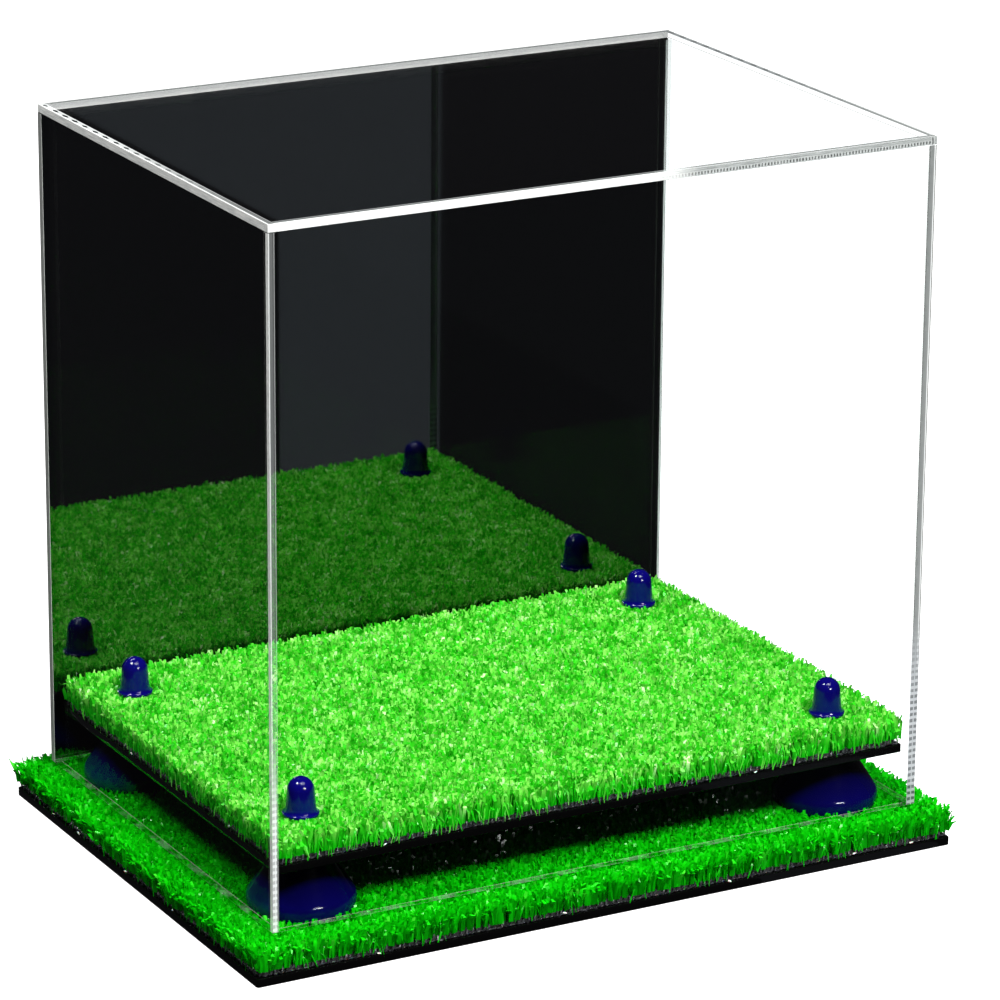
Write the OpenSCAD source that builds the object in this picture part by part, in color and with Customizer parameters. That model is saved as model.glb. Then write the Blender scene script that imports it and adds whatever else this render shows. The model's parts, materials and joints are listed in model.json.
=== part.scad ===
// Display case for a pair of children's football boots.
// A clear acrylic cover with a mirror back stands on a base board covered in artificial turf.
// Inside, a turfed platform stands on four bell-shaped riser feet with cap nuts.
// Millimetres, +Z up. X runs along the front, and +Y runs to the mirror at the rear.
// The origin is the middle of the base board's underside.

/* [Cover] */
// Outside width of the cover
cover_w = 267; // [180:1:400]
// Outside depth of the cover, mirror included
cover_d = 190.5; // [140:0.5:300]
// Height of the cover, from the lower rim of its walls to its top
cover_h = 256.5; // [140:0.5:400]
// Thickness of the clear acrylic sheet
sheet_t = 3; // [2:0.1:6]
// Thickness of the mirror sheet without its back coat
mirror_t = 2.8; // [1.5:0.1:6]
// Thickness of the black coat on the mirror's back
coat_t = 0.2; // [0.1:0.05:0.5]

/* [Base] */
// Width of the board that shows at each side of the cover
margin_x = 10.5; // [4:0.5:30]
// Width of the board that shows before and behind the cover
margin_y = 9; // [4:0.5:30]
// Thickness of the base board
base_t = 3.2; // [2:0.1:8]
// Corner radius of both boards
board_corner_r = 1; // [0.3:0.1:3]

/* [Turf] */
// Thickness of the glue under the turf
glue_t = 0.3; // [0.1:0.05:1]
// Thickness of the turf's backing
backing_t = 2; // [1:0.1:4]
// Height of the pile above its backing
pile_h = 9.8; // [6:0.1:14]
// How far the turf's cut edge stays inside the board's edge
turf_inset = 0.5; // [0.2:0.1:3]
// How far the glue stays inside the turf's cut edge
glue_inset = 1.5; // [0.5:0.5:8]

/* [Platform] */
// Gap between the platform and the cover's walls
platform_gap = 0.8; // [0.5:0.1:6]
// Thickness of the platform board
platform_t = 3; // [2:0.1:8]
// Distance of the risers from the platform's sides
riser_inset_x = 20; // [20:0.5:60]
// Distance of the risers from the platform's front and rear edges
riser_inset_y = 21.5; // [20:0.5:60]

/* [Riser feet] */
// Height of a foot
foot_h = 25.4; // [20:0.1:45]
// Radius of a foot at its widest
foot_r = 19.8; // [17:0.1:20]
// Radius of a foot's top face
foot_top_r = 8.6; // [7.5:0.1:11]
// Radius of a foot's flat underside
foot_base_r = 15.2; // [13:0.1:16]
// Height of a foot's widest ring above its underside
foot_belly_h = 6.4; // [5:0.1:9]
// Radius of the round shoulder between the belly and the flank
foot_shoulder_r = 5; // [3:0.1:6]
// Wall of a foot
foot_wall = 2.4; // [1.5:0.1:3]
// How far a foot sinks into the base turf
foot_sink = 5.4; // [1:0.1:5.8]
// Height of the ledge that the screw head bears on, above the foot's underside
ledge_h = 8; // [6:0.1:12]

// Wall of the boss around the screw's head
boss_wall = 2; // [1.2:0.1:3]
// How far the boss reaches past the screw's head
boss_skirt = 1; // [0.5:0.1:2]

/* [Cap nuts] */
// Height of a cap nut
cap_h = 14.3; // [12:0.1:18]
// Radius of a cap nut's dome
cap_dome_r = 4.9; // [4:0.1:6]
// Radius of a cap nut's body above its lip
cap_body_r = 5.4; // [4.8:0.1:6.5]
// Radius of a cap nut's lip
cap_lip_r = 6.6; // [6.5:0.1:8]
// Height of the straight edge of the lip
cap_lip_h = 1; // [0.5:0.1:2]
// Radius of the lip's lower edge
lip_round = 0.4; // [0.2:0.1:0.9]
// Height at which the flare above the lip meets the body
cap_flare_h = 3.8; // [3:0.1:5]
// How far a cap nut presses into the platform turf
cap_sink = 3.5; // [1:0.1:5]

/* [Screws] */
// Radius of a screw's shank
screw_r = 2; // [1.5:0.1:2.5]
// Length of the shank that is screwed into a cap nut
screw_grip = 9.4; // [6:0.1:10]
// Radius of a screw's head
head_r = 4; // [3.5:0.1:4.5]
// Height of a screw's head
head_h = 2.6; // [2:0.1:3.5]
// Radius of the round edge of a screw's head
head_round = 1; // [0.4:0.1:1.5]
// Bevel at a screw's tip
tip_bevel = 0.5; // [0.2:0.1:1]
// Length of the cross slots in a screw's head
slot_l = 4.4; // [3:0.1:5]
// Width of the cross slots
slot_w = 1; // [0.6:0.1:1.4]
// Depth of the cross slots
slot_depth = 1.5; // [1:0.1:1.8]

/* [Fits] */
// Space between a foot or a cap nut and the turf around it
turf_gap = 0.3; // [0.2:0.05:1]
// Space around a screw in the boards, the turf and the feet
hole_gap = 0.25; // [0.15:0.05:0.6]
// Space around a screw in a cap nut
thread_gap = 0.05; // [0.02:0.01:0.1]
// Space around a screw's head in its counterbore
head_gap = 0.5; // [0.2:0.1:1]
// Space above a screw's tip in a cap nut
tip_gap = 0.8; // [0.4:0.1:1.5]

/* [Hidden] */

$fn = 64;
// A cut runs this far past the face that it opens
cut = 1;
arc_steps = 10;

clear = "#e6eef0";
gloss_black = "#101114";
turf_green = "#2cb51e";
backing_black = "#25262a";
glue_white = "#d8d8d2";
navy = "#12127a";

// Levels of the base, from the floor up
base_glue_z = base_t;
base_backing_z = base_glue_z + glue_t;
base_pile_z = base_backing_z + backing_t;
base_top_z = base_pile_z + pile_h;

// The cover stands on the tips of the base turf
cover_z = base_top_z;
wall_h = cover_h - sheet_t;
back_t = mirror_t + coat_t;
inside_w = cover_w - 2 * sheet_t;
inside_d = cover_d - sheet_t - back_t;
inside_y = (sheet_t - back_t) / 2;

// Levels of the platform, which stands on the feet
foot_z = base_top_z - foot_sink;
platform_z = foot_z + foot_h;
platform_glue_z = platform_z + platform_t;
platform_backing_z = platform_glue_z + glue_t;
platform_pile_z = platform_backing_z + backing_t;
platform_top_z = platform_pile_z + pile_h;
cap_z = platform_top_z - cap_sink;

base_w = cover_w + 2 * margin_x;
base_d = cover_d + 2 * margin_y;
platform_w = inside_w - 2 * platform_gap;
platform_d = inside_d - 2 * platform_gap;
riser_x = platform_w / 2 - riser_inset_x;
riser_y = platform_d / 2 - riser_inset_y;

// The flank leaves the round shoulder on a tangent, at the angle shoulder_a
shoulder_x = foot_r - foot_shoulder_r;
flank_l = norm([shoulder_x - foot_top_r, foot_h - foot_belly_h]);
shoulder_a = atan2(foot_h - foot_belly_h, foot_top_r - shoulder_x) - acos(foot_shoulder_r / flank_l);
foot_roof_r = foot_top_r - foot_wall * (cos(shoulder_a) - (1 - sin(shoulder_a)) * tan(shoulder_a));

// The shank reaches from the ledge in the foot into the cap nut
hole_r = screw_r + hole_gap;
ledge_z = foot_z + ledge_h;
shank_l = cap_z + screw_grip - ledge_z;
counterbore_r = head_r + head_gap;

// Points of an elliptic arc about x, y, from angle a0 to angle a1
function arc(x, y, rx, ry, a0, a1) =
  [for (i = [0:arc_steps]) let (a = a0 + (a1 - a0) * i / arc_steps) [x + rx * cos(a), y + ry * sin(a)]];

// A board or a layer of turf, centred on X and on y
module slab(w, d, t, r) {
  linear_extrude(t)
    union() {
      square([w - 2 * r, d], center = true);
      square([w, d - 2 * r], center = true);
      for (x = [-1, 1], y = [-1, 1])
        translate([x * (w / 2 - r), y * (d / 2 - r)]) circle(r);
    }
}

// Layers of the base and of the platform; inset is measured from the board's edge
module base_layer(z, t, inset) {
  translate([0, 0, z])
    slab(base_w - 2 * inset, base_d - 2 * inset, t, board_corner_r);
}

module platform_layer(z, t, inset) {
  translate([0, inside_y, z])
    slab(platform_w - 2 * inset, platform_d - 2 * inset, t, board_corner_r);
}

// Places its children at one riser: side is -1 left or 1 right, end is -1 front or 1 rear
module at_riser(side, end, z) {
  translate([side * riser_x, inside_y + end * riser_y, z]) children();
}

// A round cut at each of the four risers
module riser_holes(z, h, r) {
  for (side = [-1, 1], end = [-1, 1])
    at_riser(side, end, z) cylinder(h = h, r = r);
}

// Base: a black acrylic board with turf glued on it

module base_board() {
  color(gloss_black) base_layer(0, base_t, 0);
}

module base_turf_glue() {
  color(glue_white) base_layer(base_glue_z, glue_t, turf_inset + glue_inset);
}

module base_turf_backing() {
  color(backing_black) base_layer(base_backing_z, backing_t, turf_inset);
}

// The feet press four round beds into the pile
module base_turf_pile() {
  color(turf_green)
    difference() {
      base_layer(base_pile_z, pile_h, turf_inset);
      riser_holes(foot_z, foot_sink + cut, foot_r + turf_gap);
    }
}

// Cover: the front panel is bonded over the side panels' ends, the mirror closes the rear,
// and the top panel lies on all four

module wall(x, y, w, d) {
  translate([x - w / 2, y, cover_z]) cube([w, d, wall_h]);
}

module cover_front_panel() {
  color(clear) wall(0, -cover_d / 2, cover_w, sheet_t);
}

module side_panel(side) {
  color(clear) wall(side * (cover_w - sheet_t) / 2, inside_y - inside_d / 2, sheet_t, inside_d);
}

module cover_top_panel() {
  color(clear)
    translate([-cover_w / 2, -cover_d / 2, cover_z + wall_h]) cube([cover_w, cover_d, sheet_t]);
}

module cover_back_mirror() {
  color("silver") wall(0, cover_d / 2 - back_t, cover_w, mirror_t);
}

module mirror_back_coat() {
  color(gloss_black) wall(0, cover_d / 2 - coat_t, cover_w, coat_t);
}

// Platform: a smaller board with its own turf, drilled for the riser screws

module platform_board() {
  color(gloss_black)
    difference() {
      platform_layer(platform_z, platform_t, 0);
      riser_holes(platform_z - cut, platform_t + 2 * cut, hole_r);
    }
}

module platform_turf_glue() {
  color(glue_white)
    difference() {
      platform_layer(platform_glue_z, glue_t, turf_inset + glue_inset);
      riser_holes(platform_glue_z - cut, glue_t + 2 * cut, hole_r);
    }
}

module platform_turf_backing() {
  color(backing_black)
    difference() {
      platform_layer(platform_backing_z, backing_t, turf_inset);
      riser_holes(platform_backing_z - cut, backing_t + 2 * cut, hole_r);
    }
}

// The cap nuts press four small beds into the pile
module platform_turf_pile() {
  color(turf_green)
    difference() {
      platform_layer(platform_pile_z, pile_h, turf_inset);
      riser_holes(platform_pile_z - cut, pile_h + 2 * cut, hole_r);
      riser_holes(cap_z, cap_sink + cut, cap_lip_r + turf_gap);
    }
}

// Risers

// Outside of a foot: a flat underside, a round belly, a round shoulder and a straight flank
module foot_outside() {
  rotate_extrude()
    polygon(concat([[0, 0]],
      arc(foot_base_r, foot_belly_h, foot_r - foot_base_r, foot_belly_h, -90, 0),
      arc(shoulder_x, foot_belly_h, foot_shoulder_r, foot_shoulder_r, shoulder_a / arc_steps, shoulder_a),
      [[foot_top_r, foot_h], [0, foot_h]]));
}

// Hollow of a foot, one wall inside its shoulder and flank
module foot_hollow() {
  rotate_extrude()
    polygon(concat([[0, -cut], [foot_base_r - foot_wall, -cut], [foot_base_r - foot_wall, 0]],
      arc(shoulder_x, foot_belly_h, foot_shoulder_r - foot_wall, foot_shoulder_r - foot_wall, 0, shoulder_a),
      [[foot_roof_r, foot_h - foot_wall], [0, foot_h - foot_wall]]));
}

// A moulded plastic bell, whose boss takes the screw and its head
module riser_foot(side, end) {
  boss_h = ledge_h - head_h - boss_skirt;
  color(navy)
    at_riser(side, end, foot_z)
      difference() {
        union() {
          difference() {
            foot_outside();
            foot_hollow();
          }
          translate([0, 0, boss_h]) cylinder(h = foot_h - foot_wall / 2 - boss_h, r = counterbore_r + boss_wall);
        }
        translate([0, 0, -cut]) cylinder(h = ledge_h + cut, r = counterbore_r);
        cylinder(h = foot_h + cut, r = hole_r);
      }
}

// A cap nut with a blind thread: a flared lip, a tapered body and a dome
module riser_cap(side, end) {
  bore_r = screw_r + thread_gap;
  bore_h = screw_grip + tip_gap;
  dome_z = cap_h - cap_dome_r;
  color(navy)
    at_riser(side, end, cap_z)
      rotate_extrude()
        polygon(concat([[bore_r, bore_h], [bore_r, 0]],
          arc(cap_lip_r - lip_round, lip_round, lip_round, lip_round, -90, 0),
          arc(cap_lip_r, cap_flare_h, cap_lip_r - cap_body_r, cap_flare_h - cap_lip_h, 270, 180),
          arc(0, dome_z, cap_dome_r, cap_dome_r, 0, 90),
          [[0, bore_h]]));
}

// A machine screw whose pan head points down and has a cross recess
module riser_screw(side, end) {
  color("silver")
    at_riser(side, end, ledge_z)
      difference() {
        rotate_extrude()
          polygon(concat([[0, -head_h]],
            arc(head_r - head_round, head_round - head_h, head_round, head_round, -90, 0),
            [[head_r, 0], [screw_r, 0], [screw_r, shank_l - tip_bevel],
              [screw_r - tip_bevel, shank_l], [0, shank_l]]));
        for (turn = [0, 90])
          rotate(turn)
            translate([-slot_l / 2, -slot_w / 2, -head_h - cut]) cube([slot_l, slot_w, slot_depth + cut]);
      }
}

base_board();
base_turf_glue();
base_turf_backing();
base_turf_pile();
cover_front_panel();
side_panel(-1);  // cover_left_panel
side_panel(1);  // cover_right_panel
cover_top_panel();
cover_back_mirror();
mirror_back_coat();
platform_board();
platform_turf_glue();
platform_turf_backing();
platform_turf_pile();
riser_foot(-1, -1);  // riser_foot_front_left
riser_foot(1, -1);  // riser_foot_front_right
riser_foot(-1, 1);  // riser_foot_rear_left
riser_foot(1, 1);  // riser_foot_rear_right
riser_cap(-1, -1);  // riser_cap_front_left
riser_cap(1, -1);  // riser_cap_front_right
riser_cap(-1, 1);  // riser_cap_rear_left
riser_cap(1, 1);  // riser_cap_rear_right
riser_screw(-1, -1);  // riser_screw_front_left
riser_screw(1, -1);  // riser_screw_front_right
riser_screw(-1, 1);  // riser_screw_rear_left
riser_screw(1, 1);  // riser_screw_rear_right
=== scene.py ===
import json
import math
import random

import bmesh
import bpy
from mathutils import Matrix, Quaternion, Vector

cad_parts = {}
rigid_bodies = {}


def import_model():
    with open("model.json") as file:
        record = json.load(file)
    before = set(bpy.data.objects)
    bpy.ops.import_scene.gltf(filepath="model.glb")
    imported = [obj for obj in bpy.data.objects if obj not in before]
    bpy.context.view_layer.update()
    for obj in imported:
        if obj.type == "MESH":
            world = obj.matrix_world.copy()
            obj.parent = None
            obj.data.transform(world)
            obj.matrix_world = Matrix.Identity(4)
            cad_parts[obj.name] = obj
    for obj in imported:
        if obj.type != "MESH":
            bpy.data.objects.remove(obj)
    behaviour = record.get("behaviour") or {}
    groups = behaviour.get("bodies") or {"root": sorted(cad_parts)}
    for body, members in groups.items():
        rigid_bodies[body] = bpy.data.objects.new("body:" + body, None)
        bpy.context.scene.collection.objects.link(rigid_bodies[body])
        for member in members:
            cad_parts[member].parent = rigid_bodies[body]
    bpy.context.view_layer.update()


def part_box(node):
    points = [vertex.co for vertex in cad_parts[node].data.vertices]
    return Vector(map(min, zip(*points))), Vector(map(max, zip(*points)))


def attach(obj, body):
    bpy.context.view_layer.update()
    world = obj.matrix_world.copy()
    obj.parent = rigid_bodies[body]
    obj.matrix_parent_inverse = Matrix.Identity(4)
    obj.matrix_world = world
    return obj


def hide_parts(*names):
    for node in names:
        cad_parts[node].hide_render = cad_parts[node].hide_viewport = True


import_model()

# ---------------------------------------------------------------- Studio
# A pale table top under large soft lamps, seen from the front left and a little above.
# Black flags stand all round it, so the mirror and the gloss plastic see a dark room.

MM = 0.001
X, Y, Z = range(3)
tiny = 1e-6
camera_azimuth, camera_elevation, camera_roll = -28.77, 18.15, 0.43
camera_place = Vector((-0.8574, -1.5765, 0.7154))
camera_lens = 183.5
case_middle = Vector((0, 0, 0.08))
table_radius, table_drop = 6.0, 0.2 * MM
flag_radius, flag_height, flag_lift = 3.0, 2.6, 0.2 * MM
ring_steps = 64
card_outline = [
    (-0.035, 0.093), (0.034, 0.093), (0.670, -1.098), (0.411, -1.144),
    (0.319, -0.934), (0.318, -0.625)]


def adder(tree):
    """The function that adds one node to a tree. A kind is a node's type without its prefix, then its
    operation or data type if it has one. Inputs come in the order that the node shows them in, or by
    name, from nodes, sockets, hex colours or plain values. Other settings are named."""
    def add(kind, inputs=(), **settings):
        kind, _, mode = kind.partition(" ")
        kinds = [prefix + kind for prefix in ("ShaderNode", "GeometryNode", "FunctionNode", "")]
        node = tree.nodes.new(next(k for k in kinds if hasattr(bpy.types, k)))
        if mode:
            settings["operation" if hasattr(node, "operation") else "data_type"] = mode
        for name, value in settings.items():
            setattr(node, name, value)
        for key, value in inputs.items() if isinstance(inputs, dict) else enumerate(inputs):
            if isinstance(key, int):
                socket = [s for s in node.inputs if s.enabled][key]
            else:
                socket = next(s for s in node.inputs if s.name == key and s.enabled)
            if isinstance(value, bpy.types.Node):
                value = next(s for s in value.outputs if s.enabled)
            if isinstance(value, bpy.types.NodeSocket):
                tree.links.new(value, socket)
            else:
                socket.default_value = colour(value) if str(value).startswith("#") else value
        return node
    return add


def colour(hex_code):
    """The linear RGBA of an sRGB hex colour."""
    parts = [int(hex_code[i:i + 2], 16) / 255 for i in (1, 3, 5)]
    return (*[c / 12.92 if c <= 0.04045 else ((c + 0.055) / 1.055) ** 2.4 for c in parts], 1.0)


def material_of(name, build):
    """A material whose surface is the shader that build(add) returns. Patterns lie on the object's own
    place or on a map, and the scale of each is its number of features to a millimetre."""
    material = bpy.data.materials.new(name)
    material.use_nodes = True
    material.node_tree.nodes.clear()
    add = adder(material.node_tree)
    add("OutputMaterial", (build(add),))
    return material


def link(name, mesh, *materials):
    """A new object at the origin with this mesh and these materials."""
    thing = bpy.data.objects.new(name, mesh)
    bpy.context.scene.collection.objects.link(thing)
    for material in materials:
        mesh.materials.append(material)
    return thing


def table_paint(add):
    """Matt white paint that a camera sees burnt out to white, with the case's shadow left in it.
    What it sends back to the case is held down, as by dark cloth laid outside the picture."""
    seen = add("LightPath").outputs["Is Camera Ray"]
    far = add("BsdfDiffuse", {"Color": "#2c2d2e"})
    near = add("BsdfDiffuse", {"Color": "#bcbcbc"})
    glow = add("Emission", {"Color": "#ffffff", "Strength": 0.95})
    burnt = add("AddShader", (near, glow))
    return add("MixShader", (seen, far, burnt))


def flag_cloth(add):
    """Black cloth that sends back a trace of the room's light."""
    return add("Emission", {"Color": "#262528", "Strength": 1.0})


def grey_card(add):
    """A dark grey sheet laid on the black ones, in front of the case, for the mirror to show."""
    return add("Emission", {"Color": "#55575d", "Strength": 1.0})


def mesh_from(name, shape):
    """The mesh of a finished bmesh."""
    mesh = bpy.data.meshes.new(name)
    shape.to_mesh(mesh)
    shape.free()
    return mesh


def disc(radius, height):
    """A flat round mesh, facing up."""
    shape = bmesh.new()
    bmesh.ops.create_circle(shape, cap_ends=True, radius=radius, segments=ring_steps,
                            matrix=Matrix.Translation((0, 0, height)))
    return mesh_from("disc", shape)


table = link("table_top", disc(table_radius, -table_drop), material_of("matt white paint", table_paint))

flag_material = material_of("black flag cloth", flag_cloth)
flag_floor = link("black_flag_floor", disc(flag_radius, flag_lift), flag_material)
shape = bmesh.new()
bmesh.ops.create_cone(shape, cap_ends=False, segments=ring_steps, radius1=flag_radius, radius2=flag_radius,
                      depth=flag_height, matrix=Matrix.Translation((0, 0, flag_height / 2)))
flag_ring = link("black_flag_ring", mesh_from("flag_ring", shape), flag_material)
flag_roof = link("black_flag_roof", disc(flag_radius, flag_height), flag_material)
card_mesh = bpy.data.meshes.new("card")
card_mesh.from_pydata([(x, y, 2 * flag_lift) for x, y in card_outline], [], [range(len(card_outline))])
card = link("grey_card", card_mesh, material_of("dark grey sheet", grey_card))
for flag in (flag_floor, flag_ring, flag_roof, card):
    flag.visible_camera = flag.visible_diffuse = flag.visible_shadow = flag.visible_transmission = False

world = bpy.data.worlds.new("pale studio")
world.use_nodes = True
world.node_tree.nodes.clear()
add = adder(world.node_tree)
path = add("LightPath")
seen = path.outputs["Is Camera Ray"]
for ray, operation in (("Glossy", "MAXIMUM"), ("Transmission", "MAXIMUM"), ("Diffuse", "SUBTRACT")):
    seen = add("Math " + operation, (seen, path.outputs[f"Is {ray} Ray"]))
strength = add("MapRange", (seen, 0, 1, 0.02, 1.0))
sky = add("Background", {"Color": "#ffffff", "Strength": strength})
add("OutputWorld", (sky,))
bpy.context.scene.world = world


def soft_box(name, place, width, height, watts, lights=True, shines=True):
    """A rectangular soft box that faces the middle of the case. It lights matt things, shines in gloss,
    or does both."""
    lamp = bpy.data.lights.new(name, "AREA")
    lamp.shape = "RECTANGLE"
    lamp.size, lamp.size_y = width, height
    lamp.energy = watts
    box = bpy.data.objects.new(name, lamp)
    box.location = place
    box.rotation_mode = "QUATERNION"
    box.rotation_quaternion = (case_middle - Vector(place)).to_track_quat("-Z", "Y")
    box.visible_diffuse = box.visible_transmission = lights
    box.visible_glossy = shines
    bpy.context.scene.collection.objects.link(box)


soft_box("lamp_front", (0.25, -2.0, 0.95), 0.7, 0.34, 30, lights=False)
soft_box("lamp_key", (0.1, -1.5, 1.7), 0.8, 0.5, 86, shines=False)
soft_box("lamp_left", (-0.95, 0.0, 1.75), 0.5, 0.5, 35)
soft_box("lamp_overhead", (0.0, -0.75, 1.8), 1.0, 0.7, 26)

azimuth, elevation = math.radians(camera_azimuth), math.radians(camera_elevation)
back = Vector((math.sin(azimuth) * math.cos(elevation),
               -math.cos(azimuth) * math.cos(elevation), math.sin(elevation)))
camera = bpy.data.objects.new("camera", bpy.data.cameras.new("camera"))
camera.data.lens = camera_lens
camera.data.clip_start = 0.05
camera.location = camera_place
camera.rotation_mode = "QUATERNION"
camera.rotation_quaternion = ((-back).to_track_quat("-Z", "Y")
                              @ Quaternion((0, 0, 1), math.radians(camera_roll)))
bpy.context.scene.collection.objects.link(camera)
bpy.context.scene.camera = camera
bpy.context.scene.view_settings.view_transform = "Standard"
bpy.context.scene.cycles.transparent_max_bounces = 32

# ---------------------------------------------------------------- Boards
# Base board and platform board: black acrylic sheet, sawn to size with small eased edges.
# The platform board is drilled for the four riser screws.

board_ease, board_corner = 0.25 * MM, 1.2 * MM
corner_names = ("front_left", "front_right", "rear_left", "rear_right")
slab_crease = 40
screw_hole, hole_steps = 2.25 * MM, 24
platform_low, platform_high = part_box("platform_board")


def riser_axis(corner):
    """Where a riser's axis stands."""
    low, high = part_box("riser_foot_" + corner)
    return Vector(((low[0] + high[0]) / 2, (low[1] + high[1]) / 2, 0))


def arc(centre, radii, start, end, steps):
    """Points of an elliptic arc between two angles in degrees."""
    turns = [math.radians(start + (end - start) * i / steps) for i in range(steps + 1)]
    return [(centre[0] + radii[0] * math.cos(t), centre[1] + radii[1] * math.sin(t)) for t in turns]


def rounded_outline(low, high, radius, steps=6):
    """Points round a rectangle with round corners, anticlockwise."""
    points = []
    for quarter, (right, far) in enumerate(((1, 1), (0, 1), (0, 0), (1, 0))):
        centre = (high[0] - radius if right else low[0] + radius,
                  high[1] - radius if far else low[1] + radius)
        points += arc(centre, (radius,) * 2, 90 * quarter, 90 * (quarter + 1), steps)
    return points


def slab(name, low, high, corner_radius, ease, holes=()):
    """A flat slab between two corners, with round corners, eased edges and holes through it."""
    flat = bpy.data.curves.new(name, "CURVE")
    flat.dimensions = "2D"
    flat.fill_mode = "BOTH"
    flat.extrude = (high[2] - low[2]) / 2 - ease
    flat.bevel_depth = ease
    flat.bevel_resolution = 1
    flat.offset = -ease
    for outline in (rounded_outline(low, high, corner_radius), *holes):
        line = flat.splines.new("POLY")
        line.points.add(len(outline) - 1)
        for point, (x, y) in zip(line.points, outline):
            point.co = (x, y, 0, 1)
        line.use_cyclic_u = True
    return flattened(bpy.data.objects.new(name, flat), (low[2] + high[2]) / 2)


def flattened(thing, height=0.0):
    """The evaluated mesh of an object, raised by height. The object is removed."""
    bpy.context.scene.collection.objects.link(thing)
    bpy.context.view_layer.update()
    mesh = bpy.data.meshes.new_from_object(thing.evaluated_get(bpy.context.evaluated_depsgraph_get()))
    mesh.name = thing.name
    data = thing.data
    bpy.data.objects.remove(thing)
    if isinstance(data, bpy.types.Curve):
        bpy.data.curves.remove(data)
    else:
        bpy.data.meshes.remove(data)
    mesh.transform(Matrix.Translation((0, 0, height)))
    mesh.set_sharp_from_angle(angle=math.radians(slab_crease))
    return mesh


def black_acrylic(add):
    """Cast acrylic: deep black with a wet gloss, and saw lines along its edges."""
    place = add("TexCoord").outputs["Object"]
    saw = add("Mapping", {"Vector": place, "Scale": (0.02 / MM, 0.02 / MM, 1.6 / MM)})
    lines = add("TexNoise", (saw, 1.0, 2.0))
    haze = add("TexNoise", (place, 0.18 / MM, 3.0))
    rough = add("MapRange", (haze, 0, 1, 0.05, 0.12))
    bump = add("Bump", {"Height": lines, "Strength": 0.25, "Distance": 0.1 * MM})
    return add("BsdfPrincipled", {"Base Color": "#030303", "Roughness": rough, "Normal": bump, "IOR": 1.49})


def settle(thing, body, slot, *nodes):
    """Fixes a finished piece to its body, and hides the nodes that it stands for. The slot is not used."""
    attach(thing, body)
    if nodes:
        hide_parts(*nodes)


board_material = material_of("black cast acrylic", black_acrylic)
screw_holes = [arc(riser_axis(corner), (screw_hole,) * 2, 0, 360, hole_steps)[:-1] for corner in corner_names]
for part, holes in (("base", ()), ("platform", screw_holes)):
    node = part + "_board"
    mesh = slab(node, *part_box(node), board_corner, board_ease, holes)
    settle(link(part + "_board_sheet", mesh, board_material), part, "black_acrylic", node)

# ---------------------------------------------------------------- Turf glue
# Hot-melt glue holds the turf's backing to each board. It is a thin film, and a few dabs and drips
# have squeezed out of it where the backing ends.

film_corner, film_ease = 4 * MM, 0.05 * MM
dab_size, dab_spread, dab_rise, dab_lumps = 0.45 * MM, (0.7, 1.3), (0.3, 2.4), 0.16
dab_long, dab_thin, dab_high, dab_tilt = 1.9, 0.6, 0.7, 0.5
glue_crease = 60
# By the axis and side of a board's edge: how far inside it dabs lie, and their place along it, in mm.
dabs = {"base": {(X, -1): ((0.3, 71), (0.2, 6), (0.4, -34), (0.3, 48)),
                 (Y, -1): ((0.3, -21), (0.2, 48), (0.4, 102), (0.4, 127), (0.4, -96)),
                 (X, 1): ((0.3, -41), (0.3, 52)), (Y, 1): ((0.3, 35),)},
        "platform": {(Y, -1): ((0.4, -87), (0.3, 66)), (X, -1): ((0.4, 31), (0.4, -52))}}


def hot_melt(add):
    """Cured hot-melt glue: milky, waxy and slightly see-through at its thin edges."""
    place = add("TexCoord").outputs["Object"]
    cloud = add("TexNoise", (place, 0.7 / MM, 3.0))
    tint = add("Mix RGBA", (cloud, "#cfd0c8", "#f2f2ee"))
    bump = add("Bump", {"Height": cloud, "Strength": 0.3, "Distance": 0.2 * MM})
    return add("BsdfPrincipled", {"Base Color": tint, "Roughness": 0.38, "Subsurface Weight": 0.3,
                                  "Subsurface Scale": 0.001, "Normal": bump, "IOR": 1.48})


def glue_layer(part, node, seed):
    """The glue film of one board, with its dabs at the board's edge, each drawn out along that edge."""
    rng = random.Random(seed)
    low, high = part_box(node)
    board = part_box(part + "_board")
    shape = bmesh.new()
    shape.from_mesh(slab(node, low, high, film_corner, film_ease))
    for axis, sign, inside, along in ((*edge, *spot) for edge, spots in dabs[part].items() for spot in spots):
        size = dab_size * rng.uniform(*dab_spread)
        place, stretch = [along * MM] * 2, [dab_long] * 2
        place[axis], stretch[axis] = board[sign > 0][axis] - sign * inside * MM, dab_thin
        tilt = Matrix.Rotation(rng.uniform(-dab_tilt, dab_tilt), 4, "XY"[axis])
        place = Matrix.Translation((*place, low[2] + rng.uniform(*dab_rise) * size))
        made = bmesh.ops.create_icosphere(shape, subdivisions=2, radius=size,
                                          matrix=place @ tilt @ Matrix.Diagonal((*stretch, dab_high, 1)))
        for vertex in made["verts"]:
            vertex.co += Vector([rng.uniform(-dab_lumps, dab_lumps) * size for _ in range(3)])
    mesh = mesh_from(node, shape)
    mesh.shade_smooth()
    mesh.set_sharp_from_angle(angle=math.radians(glue_crease))
    return mesh


glue_material = material_of("hot-melt glue", hot_melt)
for part, seed in (("base", 3), ("platform", 4)):
    node = part + "_turf_glue"
    settle(link(part + "_glue_film", glue_layer(part, node, seed), glue_material), part, "turf_glue", node)

# ---------------------------------------------------------------- Turf backing
# The turf's backing is a woven black cloth, coated with latex on its underside.
# Its cut edge is a fringe of the loops of yarn that the pile was stitched with.

loop_pitch, loop_step = 2.3 * MM, 0.26 * MM
loop_yarn, loop_reach, loop_inset = 0.35 * MM, 1.2 * MM, 1.1 * MM
backing_corner, backing_ease, fringe_corner = 2 * MM, 0.4 * MM, 1.5 * MM


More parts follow.
